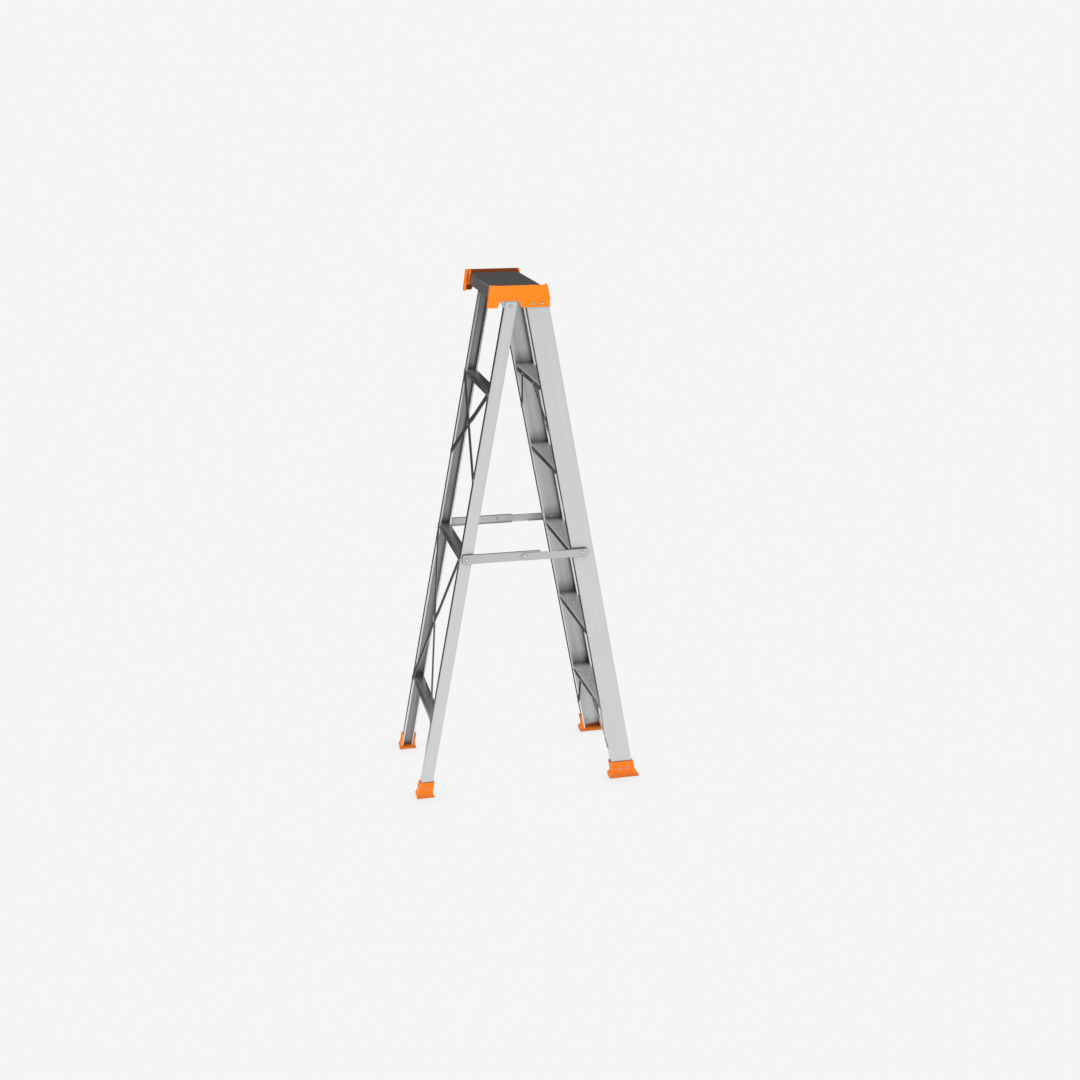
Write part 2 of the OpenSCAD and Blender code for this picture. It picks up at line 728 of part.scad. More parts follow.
module rear_rail(side) {
  color(metal) on_side(side) difference() {
    intersection() {
      along_rear_rail() rail_section(rear_depth, rear_flange_w);
      translate([0, -hinge_z, sole_t]) cube([span, 2 * hinge_z, hinge_z + rear_rail_over - sole_t]);
    }
    // flanges cut away round the hinge bracket
    at_rear_frame(half - rail_t - rear_flange_w, hinge_y, hinge_z)
      translate([0, -rear_depth, -flange_trim]) cube([rear_flange_w, 2 * rear_depth, 6 * flange_trim]);
    translate([half, hinge_y, hinge_z]) rivet_hole_x(4 * rail_t, pivot_d, pivot_fit);
    for (z = bar_z) {
      zr = z - bar_rivet_drop;
      at_rear_frame(bar_rivet_x, rear_rear_face(zr), zr) rivet_hole(4 * rail_t);
      at_rear_frame(bar_rivet_x, rear_front_face(zr), zr) rivet_hole(4 * rail_t);
    }
    at_rear_frame(bar_rivet_x, rear_rear_face(brace_low_z), brace_low_z) rivet_hole(4 * rail_t);
    translate([half, rear_middle(boot_rivet_z), boot_rivet_z]) rivet_hole_x(4 * rail_t);
    at_rear_frame(boot_wall_rivet_x, rear_rear_face(boot_wall_rivet_z), boot_wall_rivet_z)
      rivet_hole(4 * rail_t);
    at_rear_frame(boot_wall_rivet_x, rear_front_face(boot_wall_rivet_z), boot_wall_rivet_z)
      rivet_hole(4 * rail_t);
    translate([half, spreader_rear_y, spreader_z]) rivet_hole_x(4 * rail_t, pivot_d, rivet_fit);
  }
}

module rear_crossbar(z) {
  zr = z - bar_rivet_drop;
  y_rear = rear_rear_face(z) - (rail_t + slide_gap) / cos_lean;
  color(metal) difference() {
    translate([0, y_rear, z]) along_x(-rail_inner_x + bar_end_gap, rail_inner_x - bar_end_gap)
      nested_channel(rear_inner_w, bar_skirt, bar_t, -tan_lean, bar_bend);
    for (side = [-1, 1]) {
      at_rear_frame(side * bar_rivet_x, rear_rear_face(zr), zr) rivet_hole(6 * rail_t);
      at_rear_frame(side * bar_rivet_x, rear_front_face(zr), zr) rivet_hole(6 * rail_t);
      // notches for the rails' beads
      on_side(side) along_rear_rail() bead_space(rear_depth, rear_flange_w);
    }
  }
}

// Rivets at the crossbars' ends; the rear ones also hold the braces that end there
module rear_crossbar_rivets() {
  grip = rail_t + slide_gap + bar_t;
  color(bright) for (z = bar_z, side = [-1, 1]) {
    zr = z - bar_rivet_drop;
    at_rear_frame(side * bar_rivet_x, rear_rear_face(zr), zr)
      translate([0, brace_t, 0]) rivet(grip + brace_t);
    at_rear_frame(side * bar_rivet_x, rear_front_face(zr), zr) rotate([0, 0, 180]) rivet(grip);
  }
}

// A cross brace on the rear faces, from (side, z_top) down to the other rail at z_low.
// The one that runs over the other is lifted by brace_t in its middle.
module cross_brace(side, z_top, z_low, lift) {
  run = 2 * bar_rivet_x;
  drop = (z_top - z_low) / cos_lean;
  length = sqrt(run * run + drop * drop);
  angle = atan2(drop, run);
  flat = brace_w * 1.6;
  ramp = brace_w * 1.2;
  color(metal) at_rear_frame(0, rear_rear_face(z_top), z_top) on_side(-side)
    translate([-bar_rivet_x, 0, 0]) rotate([0, angle, 0]) difference() {
      intersection() {
        translate([0, 0, -brace_w / 2]) linear_extrude(height = brace_w)
          polygon([
            [-brace_w, 0], [length / 2 - flat - ramp, 0], [length / 2 - flat, lift],
            [length / 2 + flat, lift], [length / 2 + flat + ramp, 0], [length + brace_w, 0],
            [length + brace_w, brace_t], [length / 2 + flat + ramp, brace_t],
            [length / 2 + flat, lift + brace_t], [length / 2 - flat, lift + brace_t],
            [length / 2 - flat - ramp, brace_t], [-brace_w, brace_t]
          ]);
        union() {
          rotate([-90, 0, 0]) cylinder(d = brace_w, h = 3 * brace_t);
          translate([length, 0, 0]) rotate([-90, 0, 0]) cylinder(d = brace_w, h = 3 * brace_t);
          translate([0, 0, -brace_w / 2]) cube([length, 3 * brace_t, brace_w]);
        }
      }
      rivet_hole(6 * rail_t);
      translate([length / 2, 0, 0]) rivet_hole(8 * rail_t);
      translate([length, 0, 0]) rivet_hole(6 * rail_t);
    }
}

lower_brace_top = bar_z[1] - bar_rivet_drop;
lower_brace_low = bar_z[2] - bar_rivet_drop;
module cross_brace_rivets() {
  color(bright) {
    for (side = [-1, 1])
      at_rear_frame(side * bar_rivet_x, rear_rear_face(brace_low_z), brace_low_z)
        translate([0, brace_t, 0]) rivet(rail_t + brace_t);
    for (z = [(upper_brace_z + brace_low_z) / 2, (lower_brace_top + lower_brace_low) / 2])
      at_rear_frame(0, rear_rear_face(z), z) translate([0, 2 * brace_t, 0]) rivet(2 * brace_t);
  }
}

// ---------- spreaders ----------

// The two links of a pair turn on each other at the middle rivet. Folding lifts the middle.

// Front link, outside: turns on the front rail and carries the middle rivet. It is a little
// lower than the rear link. Its flat tongue lies over that link; the rest has lips turned inwards.
module spreader_front_link(side) {
  yf = spreader_front_y;
  ym = yf + link_length;
  zb = spreader_z - link_h / 2;
  zt = zb + tongue_h;
  y_end = yf - front_link_end;
  lip_end = ym - link_stop - link_lip_gap;
  color(metal) on_side(side) difference() {
    union() {
      along_x(front_link_x, front_link_x + link_t) {
        polygon([
          [y_end + link_corner, zb], [ym, zb], [ym, zt], [y_end + link_corner, zt],
          [y_end, zt - link_corner], [y_end, zb + link_corner]
        ]);
        translate([ym, zb + tongue_h / 2]) circle(r = tongue_h / 2);
      }
      for (z = [zb, zt - link_t])
        translate([front_link_x - lip_w, y_end + link_corner, z])
          cube([lip_w + link_t / 2, lip_end - y_end - link_corner, link_t]);
    }
    translate([half, yf, spreader_z]) rivet_hole_x(deep_hole, pivot_d, pivot_fit);
    translate([half, ym, spreader_z]) rivet_hole_x(deep_hole, pivot_d, rivet_fit);
  }
}

// Rear link, inside: turns on the middle rivet and ends at the rear rail's rivet
module spreader_rear_link(side) {
  y0 = spreader_front_y + link_length - link_stop;
  y1 = spreader_rear_y + link_end;
  zb = spreader_z - link_h / 2;
  zt = spreader_z + link_h / 2;
  color(metal) on_side(side) difference() {
    union() {
      along_x(rear_link_x, rear_link_x + link_t) polygon([
        [y0 + link_corner, zb], [y1 - link_corner, zb], [y1, zb + link_corner],
        [y1, zt - link_corner], [y1 - link_corner, zt], [y0 + link_corner, zt],
        [y0, zt - link_corner], [y0, zb + link_corner]
      ]);
      for (z = [zb, zt - link_t])
        translate([rear_link_x - lip_w, y0 + link_corner, z])
          cube([lip_w + link_t / 2, y1 - y0 - 2 * link_corner, link_t]);
    }
    translate([half, spreader_front_y + link_length, spreader_z])
      rivet_hole_x(deep_hole, pivot_d, pivot_fit);
    translate([half, spreader_rear_y, spreader_z]) rivet_hole_x(deep_hole, pivot_d, rivet_fit);
  }
}

module spreader_front_rivet(side) {
  x_head = front_link_x + link_t + running_gap;
  color(bright) on_side(side) translate([x_head, spreader_front_y, spreader_z])
    rivet_x(x_head - half + rail_t, pivot_d, pivot_head_d, pivot_tail_d);
}

// Middle rivet, fixed in the front link, with its tail inside the rear link
module spreader_middle_rivet(side) {
  color(bright) on_side(side)
    translate([front_link_x + link_t, spreader_front_y + link_length, spreader_z])
      rivet_x(2 * (link_t + running_gap), pivot_d, pivot_head_d, pivot_tail_d);
}

// Rivet at the rear rail. It is carried by the link and ends at the rail's face.
module spreader_rear_rivet(side) {
  x_head = rear_link_x + link_t;
  color(bright) on_side(side) translate([x_head, spreader_rear_y, spreader_z])
    rivet_x(x_head - half - running_gap - tail_h, pivot_d, pivot_head_d, pivot_d);
}

// Spacers between the front rails and the front links
module spreader_washers() {
  color(bright) for (side = [-1, 1]) on_side(side)
    translate([half, spreader_front_y, spreader_z]) rotate([0, 90, 0]) difference() {
      cylinder(d = washer_d, h = front_link_x - half - running_gap);
      translate([0, 0, -1]) cylinder(d = pivot_d + 2 * rivet_fit, h = front_link_x);
    }
}

// ---------- the ladder ----------

front_rail(-1);  // front_rail_left
front_rail(1);  // front_rail_right
step(1);  // step_1
step(2);  // step_2
step(3);  // step_3
step(4);  // step_4
step(5);  // step_5
step_rivets();
knee_brace(-1, 1);  // knee_brace_top_left
knee_brace(1, 1);  // knee_brace_top_right
knee_brace(-1, step_count);  // knee_brace_bottom_left
knee_brace(1, step_count);  // knee_brace_bottom_right
knee_brace_rivets();
top_platform();
end_cap(-1);  // end_cap_left
end_cap(1);  // end_cap_right
end_cap_rivets();
hinge_bracket(-1);  // hinge_bracket_left
hinge_bracket(1);  // hinge_bracket_right
hinge_rivet(-1);  // hinge_rivet_left
hinge_rivet(1);  // hinge_rivet_right
front_boot(-1);  // front_boot_left
front_boot(1);  // front_boot_right
front_boot_rivets();
rear_rail(-1);  // rear_rail_left
rear_rail(1);  // rear_rail_right
rear_crossbar(bar_z[0]);  // rear_crossbar_top
rear_crossbar(bar_z[1]);  // rear_crossbar_middle
rear_crossbar(bar_z[2]);  // rear_crossbar_bottom
rear_crossbar_rivets();
cross_brace(1, upper_brace_z, brace_low_z, 0);  // upper_brace_under
cross_brace(-1, upper_brace_z, brace_low_z, brace_t);  // upper_brace_over
cross_brace(1, lower_brace_top, lower_brace_low, 0);  // lower_brace_under
cross_brace(-1, lower_brace_top, lower_brace_low, brace_t);  // lower_brace_over
cross_brace_rivets();
rear_boot(-1);  // rear_boot_left
rear_boot(1);  // rear_boot_right
rear_boot_rivets();
spreader_front_link(-1);  // spreader_front_link_left
spreader_front_link(1);  // spreader_front_link_right
spreader_rear_link(-1);  // spreader_rear_link_left
spreader_rear_link(1);  // spreader_rear_link_right
spreader_front_rivet(-1);  // spreader_front_rivet_left
spreader_front_rivet(1);  // spreader_front_rivet_right
spreader_middle_rivet(-1);  // spreader_middle_rivet_left
spreader_middle_rivet(1);  // spreader_middle_rivet_right
spreader_rear_rivet(-1);  // spreader_rear_rivet_left
spreader_rear_rivet(1);  // spreader_rear_rivet_right
spreader_washers();
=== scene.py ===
# %% [markdown]
# # A folding step ladder in aluminium
# The CAD model arrives with every rail, step, brace and rivet in its real place, in metres.
# This lesson gives it its looks: soft edges where metal is pressed and plastic is moulded,
# finishes built from nodes, and a plain studio. We start by loading the frame.

# %% Load the frame
import bpy
import bmesh
import json
import math
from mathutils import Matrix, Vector


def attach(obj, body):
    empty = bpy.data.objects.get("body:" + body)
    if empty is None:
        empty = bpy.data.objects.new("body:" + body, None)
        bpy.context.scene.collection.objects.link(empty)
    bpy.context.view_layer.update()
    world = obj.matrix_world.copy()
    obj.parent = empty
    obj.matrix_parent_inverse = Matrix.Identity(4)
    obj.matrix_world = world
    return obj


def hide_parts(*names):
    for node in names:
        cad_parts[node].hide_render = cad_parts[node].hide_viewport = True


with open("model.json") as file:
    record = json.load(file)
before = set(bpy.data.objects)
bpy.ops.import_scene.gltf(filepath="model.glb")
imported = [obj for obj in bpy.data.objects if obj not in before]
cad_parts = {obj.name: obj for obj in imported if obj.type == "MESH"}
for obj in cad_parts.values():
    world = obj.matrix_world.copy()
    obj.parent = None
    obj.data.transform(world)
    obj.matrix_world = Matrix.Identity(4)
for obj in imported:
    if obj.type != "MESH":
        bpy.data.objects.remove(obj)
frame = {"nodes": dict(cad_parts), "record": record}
nodes = frame["nodes"]
body_of_node = {n: b for b, ns in frame["record"]["behaviour"]["bodies"].items() for n in ns}
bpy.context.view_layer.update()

# %% [markdown]
# ## Camera
# The ladder is seen from its left side, a little behind and above, from about five and a half
# metres away with a longish lens. The camera is a plain place and a plain direction, and it is
# level with the horizon.

# %% Camera
CAMERA_PLACE = (-5.2046, 1.1318, 2.5467)
VIEW_DIRECTION = Vector((0.9294, -0.2190, -0.2968))
SENSOR_MM = 36.0
LENS_MM = 50.44
FARTHEST_M = 100.0

camera_data = bpy.data.cameras.new("camera")
camera_data.sensor_width = SENSOR_MM
camera_data.lens = LENS_MM
camera_data.clip_end = FARTHEST_M
camera = bpy.data.objects.new("camera", camera_data)
camera.location = CAMERA_PLACE
camera.rotation_euler = VIEW_DIRECTION.to_track_quat("-Z", "Y").to_euler()
bpy.context.scene.collection.objects.link(camera)
bpy.context.scene.camera = camera
bpy.context.scene.view_settings.view_transform = "Standard"
print("camera at", tuple(camera.location), "lens", camera_data.lens)

# %% [markdown]
# ## Node helpers
# Every finish is a small tree of shader nodes. A few short helpers keep the trees readable: one
# makes a node and sets its sockets, others do sums, mix colours and map one range to another, and
# one starts a material whose Principled BSDF is already wired to the output.

# %% Node helpers
def add(tree, kind, settings=None, **sockets):
    node = tree.nodes.new(kind)
    for key, value in (settings or {}).items():
        setattr(node, key, value)
    for key, value in sockets.items():
        node.inputs[key.replace("_", " ")].default_value = value
    return node


def join(tree, socket, value):
    """Link a socket to another one, or give it a plain value."""
    if isinstance(value, (int, float, tuple)):
        socket.default_value = value
    else:
        tree.links.new(value, socket)


def calculate(tree, operation, a, b=None, clamp=False):
    node = add(tree, "ShaderNodeMath", {"operation": operation, "use_clamp": clamp})
    join(tree, node.inputs[0], a)
    if b is not None:
        join(tree, node.inputs[1], b)
    return node.outputs[0]


def mix_colour(tree, factor, a, b):
    node = add(tree, "ShaderNodeMix", {"data_type": "RGBA"})
    for socket, value in ((node.inputs[0], factor), (node.inputs[6], a), (node.inputs[7], b)):
        join(tree, socket, value)
    return node.outputs[2]


def mix_number(tree, factor, a, b):
    node = add(tree, "ShaderNodeMix", {"data_type": "FLOAT"})
    for socket, value in ((node.inputs[0], factor), (node.inputs[2], a), (node.inputs[3], b)):
        join(tree, socket, value)
    return node.outputs[0]


def ramp(tree, value, low, high, start=0.0, end=1.0, kind="SMOOTHSTEP"):
    """Map low..high to start..end."""
    node = add(tree, "ShaderNodeMapRange", {"interpolation_type": kind})
    for socket, number in zip(node.inputs[:5], (value, low, high, start, end)):
        join(tree, socket, number)
    return node.outputs[0]


def attribute(tree, name):
    return add(tree, "ShaderNodeAttribute", {"attribute_name": name}).outputs["Fac"]


def noise(tree, vector, scale, detail, roughness):
    node = add(tree, "ShaderNodeTexNoise", Scale=scale, Detail=detail, Roughness=roughness)
    tree.links.new(vector, node.inputs["Vector"])
    return node.outputs["Fac"]


def split_axes(tree, vector):
    node = add(tree, "ShaderNodeSeparateXYZ")
    tree.links.new(vector, node.inputs[0])
    return node.outputs


def use_group(tree, group, amount):
    node = add(tree, "ShaderNodeGroup", {"node_tree": group})
    node.inputs["Amount"].default_value = amount
    return node.outputs[0]


def add_relief(tree, shader, height, strength, depth):
    bump = add(tree, "ShaderNodeBump", Strength=strength, Distance=depth)
    tree.links.new(height, bump.inputs["Height"])
    tree.links.new(bump.outputs[0], shader.inputs["Normal"])


def new_material(name, metallic, roughness):
    material = bpy.data.materials.new(name)
    material.use_nodes = True
    shader = material.node_tree.nodes["Principled BSDF"]
    shader.inputs["Metallic"].default_value = metallic
    shader.inputs["Roughness"].default_value = roughness
    return material, material.node_tree, shader


def new_group(name, inputs, outputs):
    group = bpy.data.node_groups.new(name, "ShaderNodeTree")
    for label, kind in inputs:
        group.interface.new_socket(label, in_out="INPUT", socket_type=kind)
    for label in outputs:
        group.interface.new_socket(label, in_out="OUTPUT", socket_type="NodeSocketFloat")
    return group, group.nodes.new("NodeGroupInput"), group.nodes.new("NodeGroupOutput")


print("helpers ready")

# %% [markdown]
# ## Drawn metal
# A rail is pressed through a die, so its surface carries fine lines along its length.
# The group below squeezes space along Z, so that noise stretches into lines. It puts out three
# masks: hair lines, for the gloss and the relief, broad bands, which change the tone a little,
# and a mottle for spots of oxide.

# %% Drawn metal group
LINE_STRETCH = 0.02
HAIR_LINES = 900.0
BROAD_BANDS = 60.0
OXIDE_SPOTS = 9.0

drawn, drawn_in, drawn_out = new_group(
    "drawn_lines", [("Vector", "NodeSocketVector")], ["Lines", "Bands", "Mottle"]
)
squeezed = add(drawn, "ShaderNodeVectorMath", {"operation": "MULTIPLY"})
squeezed.inputs[1].default_value = (1.0, 1.0, LINE_STRETCH)
drawn.links.new(drawn_in.outputs["Vector"], squeezed.inputs[0])
drawn_masks = {
    "Lines": noise(drawn, squeezed.outputs[0], HAIR_LINES, 3.0, 0.6),
    "Bands": noise(drawn, squeezed.outputs[0], BROAD_BANDS, 3.0, 0.6),
    "Mottle": noise(drawn, drawn_in.outputs["Vector"], OXIDE_SPOTS, 4.0, 0.6),
}
for label, mask in drawn_masks.items():
    drawn.links.new(mask, drawn_out.inputs[label])
print("group", drawn.name, "with", len(drawn.nodes), "nodes")

# %% [markdown]
# ## Worn edges
# Handling polishes metal edges and pales plastic ones. Later we round the edges and mark the
# new faces with an attribute called edge. This group breaks that mark up with noise, so that
# the wear comes and goes along an edge.

# %% Worn edge group
WEAR_PATCHES = 60.0
PATCH_LOW, PATCH_HIGH = 0.38, 0.62

worn, worn_in, worn_out = new_group("worn_edges", [("Amount", "NodeSocketFloat")], ["Wear"])
place = add(worn, "ShaderNodeTexCoord").outputs["Object"]
patches = ramp(worn, noise(worn, place, WEAR_PATCHES, 4.0, 0.65), PATCH_LOW, PATCH_HIGH)
broken = calculate(worn, "MULTIPLY", attribute(worn, "edge"), patches)
wear_mask = calculate(worn, "MULTIPLY", broken, worn_in.outputs["Amount"])
worn.links.new(wear_mask, worn_out.inputs["Wear"])
print("group", worn.name, "with", len(worn.nodes), "nodes")

# %% [markdown]
# ## Painted shade in corners
# Where two faces meet, shade falls, and this group paints it into the colour. Ambient Occlusion
# tells how shut in a point is. Measured over a short reach it finds corners, and over a long reach
# it finds channels, so this group takes the stronger of the two.

# %% Painted corner shade group
CORNER_REACH, CORNER_OPEN, CORNER_SHUT = 0.012, 0.95, 0.35
CHANNEL_REACH, CHANNEL_OPEN, CHANNEL_SHUT = 0.06, 1.0, 0.25


def shut_in(tree, reach, still_open, fully_shut):
    occlusion = add(tree, "ShaderNodeAmbientOcclusion", {"samples": 8}, Distance=reach)
    return ramp(tree, occlusion.outputs["AO"], still_open, fully_shut)


corner, corner_in, corner_out = new_group(
    "corner_painted_shade", [("Amount", "NodeSocketFloat")], ["Grime"]
)
tight = shut_in(corner, CORNER_REACH, CORNER_OPEN, CORNER_SHUT)
wide = shut_in(corner, CHANNEL_REACH, CHANNEL_OPEN, CHANNEL_SHUT)
both = calculate(corner, "MAXIMUM", tight, wide)
painted_shade_mask = calculate(corner, "MULTIPLY", both, corner_in.outputs["Amount"])
corner.links.new(painted_shade_mask, corner_out.inputs["Grime"])
print("group", corner.name, "with", len(corner.nodes), "nodes")

# %% [markdown]
# ## Aluminium finishes
# One recipe serves every metal piece: tone, gloss and how far the drawn lines are turned.
# The rails lean, so the pattern is turned by the same angle and the lines follow them.
# Three face attributes steer it. Faces marked inside get a darker tone as painted shade, faces
# marked edge are worn here and there, and the flanges' free edges get a painted highlight.
# Treads are worn matt and the platform is coated, so both are less metallic than bare faces.

# %% Aluminium
DULL_BAND, PALE_BAND = 0.97, 1.01
SPOT_TONE = 0.80
# This tone is painted shade for corners and channels.
PAINTED_SHADE_TONE = 0.16
WEAR_AMOUNT = 0.3
WORN_METAL = (0.92, 0.92, 0.92, 1.0)
# The pale tone below is a painted highlight on the flanges' free edges.
PAINTED_HIGHLIGHT_METAL = (0.97, 0.97, 0.97, 1.0)
PAINTED_HIGHLIGHT_SHARE = 0.8
LINE_GLOSS = 0.14
WEAR_GLOSS = 0.12


def shade_of(tone, factor):
    return tuple(factor * channel for channel in tone) + (1.0,)


def aluminium(name, tone, roughness, turn=(0.0, 0.0, 0.0), line_depth=0.00002, metal=1.0,
              corner_amount=0.8, inside_shade_tone=0.72, spot_amount=0.08):
    material, tree, shader = new_material(name, metal, roughness)
    turned = add(tree, "ShaderNodeMapping", {"vector_type": "POINT"}, Rotation=turn)
    coords = add(tree, "ShaderNodeTexCoord")
    tree.links.new(coords.outputs["Object"], turned.inputs["Vector"])
    lines = add(tree, "ShaderNodeGroup", {"node_tree": drawn})
    tree.links.new(turned.outputs[0], lines.inputs["Vector"])
    wear = use_group(tree, worn, WEAR_AMOUNT)
    # Painted shade in corners and channels, from Ambient Occlusion.
    painted_shade = use_group(tree, corner, corner_amount)
    inside = attribute(tree, "inside")

    bands = ramp(tree, lines.outputs["Bands"], 0.3, 0.7)
    spots = ramp(tree, lines.outputs["Mottle"], 0.45, 0.75)
    spots = calculate(tree, "MULTIPLY", spots, spot_amount)
    painted_highlight = calculate(tree, "MULTIPLY", attribute(tree, "painted_highlight"), PAINTED_HIGHLIGHT_SHARE)
    body = mix_colour(tree, bands, shade_of(tone, DULL_BAND), shade_of(tone, PALE_BAND))
    # Faces marked inside take a darker tone: painted shade.
    body = mix_colour(tree, inside, body, shade_of(tone, inside_shade_tone))
    body = mix_colour(tree, spots, body, shade_of(tone, SPOT_TONE))
    body = mix_colour(tree, wear, body, WORN_METAL)
    body = mix_colour(tree, painted_shade, body, shade_of(tone, PAINTED_SHADE_TONE))
    # A painted highlight on the free edges of the rails' flanges.
    body = mix_colour(tree, painted_highlight, body, PAINTED_HIGHLIGHT_METAL)
    tree.links.new(body, shader.inputs["Base Color"])

    gloss = calculate(tree, "MULTIPLY", lines.outputs["Lines"], LINE_GLOSS)
    gloss = calculate(tree, "ADD", gloss, roughness - LINE_GLOSS / 2)
    polish = calculate(tree, "MULTIPLY", wear, WEAR_GLOSS)
    gloss = calculate(tree, "SUBTRACT", gloss, polish, clamp=True)
    tree.links.new(gloss, shader.inputs["Roughness"])
    add_relief(tree, shader, lines.outputs["Lines"], 1.0, line_depth)
    if metal < 1.0:
        bare = calculate(tree, "MULTIPLY", inside, 1.0 - metal)
        tree.links.new(calculate(tree, "ADD", bare, metal), shader.inputs["Metallic"])
    return material


LEAN = math.radians(10.6)
ALONG_X = (0.0, math.radians(90), 0.0)
ALONG_Y = (math.radians(90), 0.0, 0.0)
RAIL_TONE = (0.80, 0.81, 0.81)
STEP_TONE = (0.66, 0.67, 0.67)
PLATFORM_TONE = (0.175, 0.178, 0.182)
BRACE_TONE = (0.72, 0.73, 0.73)
LINK_TONE = (0.66, 0.67, 0.67)
finishes = {
    "front_rail": aluminium("aluminium_front_rail", RAIL_TONE, 0.30, (LEAN, 0.0, 0.0),
                            inside_shade_tone=0.84),
    "rear_rail": aluminium("aluminium_rear_rail", RAIL_TONE, 0.30, (-LEAN, 0.0, 0.0),
                           inside_shade_tone=0.66),
    "step": aluminium("aluminium_step", STEP_TONE, 0.36, ALONG_X, metal=0.45,
                      corner_amount=0.3, inside_shade_tone=0.9),
    "platform": aluminium("aluminium_platform", PLATFORM_TONE, 0.50, ALONG_X, metal=0.6,
                          line_depth=0.000004, corner_amount=0.3, spot_amount=0.02),
    "brace": aluminium("aluminium_brace", BRACE_TONE, 0.34, ALONG_X),
    "link": aluminium("aluminium_link", LINK_TONE, 0.34, ALONG_Y, corner_amount=0.4,
                      inside_shade_tone=1.0),
}
print(len(finishes), "metal finishes")

# %% [markdown]
# ## Rivets
# A rivet's crown is scuffed pale metal, its pale tone partly a painted highlight, and its rim is
# painted dark as shade. The rim slopes, so the direction a face points in tells crown from rim.
# The tails of rivets that go through a rail's web point to the middle of the ladder and stay
# dull. The rivets of the crossbars and braces point to the front or the rear, and have no such
# tails.

# %% Rivet finish
RIM_SLOPE, CROWN_SLOPE = 0.84, 0.96
# The rim colour is painted shade; the crown colours are partly a painted highlight.
RIM_SHADE = (0.16, 0.16, 0.16, 1.0)
CROWN_DULL = (0.90, 0.90, 0.89, 1.0)
CROWN_BRIGHT = (0.97, 0.97, 0.96, 1.0)
TAIL = (0.42, 0.43, 0.43, 1.0)
TAIL_LIMIT = -0.05


def rivet_finish(name, dull_tails):
    material, tree, shader = new_material(name, 0.55, 0.28)
    coords = add(tree, "ShaderNodeTexCoord")
    normal = split_axes(tree, coords.outputs["Normal"])
    across = calculate(tree, "ABSOLUTE", normal["X"])
    along = calculate(tree, "ABSOLUTE", normal["Y"])
    steepest = calculate(tree, "MAXIMUM", across, along)
    scuffs = noise(tree, coords.outputs["Object"], 400.0, 3.0, 0.6)
    bright = mix_colour(tree, scuffs, CROWN_DULL, CROWN_BRIGHT)
    # Dark rim as painted shade, pale crown partly as painted highlight.
    body = mix_colour(tree, ramp(tree, steepest, RIM_SLOPE, CROWN_SLOPE), RIM_SHADE, bright)
    if dull_tails:
        sideways = split_axes(tree, coords.outputs["Object"])["X"]
        outwards = calculate(tree, "MULTIPLY", normal["X"], sideways)
        is_tail = calculate(tree, "LESS_THAN", outwards, TAIL_LIMIT)
        body = mix_colour(tree, is_tail, body, TAIL)
    tree.links.new(body, shader.inputs["Base Color"])
    gloss = calculate(tree, "MULTIPLY", scuffs, 0.2)
    tree.links.new(calculate(tree, "ADD", gloss, 0.2), shader.inputs["Roughness"])
    return material


finishes["rivet"] = rivet_finish("aluminium_rivet", dull_tails=True)
finishes["frame_rivet"] = rivet_finish("aluminium_frame_rivet", dull_tails=False)
print("rivet finishes ready")

# %% [markdown]
# ## Orange plastic
# The caps and boots are moulded in orange plastic. It has a fine spark-eroded grain, slight
# changes of tone where the melt flowed, and paler worn edges. Faces that look inwards are painted
# brown as shade. A little grey dust gathers on the boots near the floor.

# %% Orange plastic
ORANGE, ORANGE_LIGHT = (0.93, 0.196, 0.009, 1.0), (0.94, 0.206, 0.011, 1.0)
# The inside colour is painted brown shade.
ORANGE_INSIDE_SHADE = (0.085, 0.020, 0.004, 1.0)
ORANGE_WORN = (1.0, 0.42, 0.14, 1.0)
# The next colour is painted shade for corners.
ORANGE_PAINTED_SHADE = (0.16, 0.030, 0.006, 1.0)
DUST = (0.42, 0.30, 0.20, 1.0)
INSIDE_SHADE_SHARE = 0.92
DUST_SHARE = 0.14
BASE_GLOSS = 0.34
SCUFF_GLOSS = 0.08
DUST_GLOSS = 0.25


def orange_plastic(name, painted_shade_amount, dust_top=None):
    material, tree, shader = new_material(name, 0.0, 0.38)
    shader.inputs["Specular IOR Level"].default_value = 0.22
    place = add(tree, "ShaderNodeTexCoord").outputs["Object"]
    flow = ramp(tree, noise(tree, place, 7.0, 3.0, 0.5), 0.2, 0.8)
    grain = noise(tree, place, 1400.0, 2.0, 0.5)
    scuffs = noise(tree, place, 45.0, 6.0, 0.7)
    # Faces that look inwards are painted brown as shade.
    inside = calculate(tree, "MULTIPLY", attribute(tree, "inside"), INSIDE_SHADE_SHARE)
    body = mix_colour(tree, flow, ORANGE, ORANGE_LIGHT)
    body = mix_colour(tree, inside, body, ORANGE_INSIDE_SHADE)
    body = mix_colour(tree, use_group(tree, worn, 0.35), body, ORANGE_WORN)
    # Painted shade in corners and channels, from Ambient Occlusion.
    body = mix_colour(tree, use_group(tree, corner, painted_shade_amount), body, ORANGE_PAINTED_SHADE)
    gloss = calculate(tree, "MULTIPLY", scuffs, SCUFF_GLOSS)
    if dust_top:
        low = ramp(tree, split_axes(tree, place)["Z"], dust_top, 0.0)
        dust = calculate(tree, "MULTIPLY", low, ramp(tree, scuffs, 0.42, 0.66))
        body = mix_colour(tree, calculate(tree, "MULTIPLY", dust, DUST_SHARE), body, DUST)
        gloss = calculate(tree, "ADD", gloss, calculate(tree, "MULTIPLY", dust, DUST_GLOSS))
    gloss = calculate(tree, "ADD", gloss, BASE_GLOSS, clamp=True)
    tree.links.new(body, shader.inputs["Base Color"])
    tree.links.new(gloss, shader.inputs["Roughness"])
    add_relief(tree, shader, grain, 0.6, 0.00004)
    return material


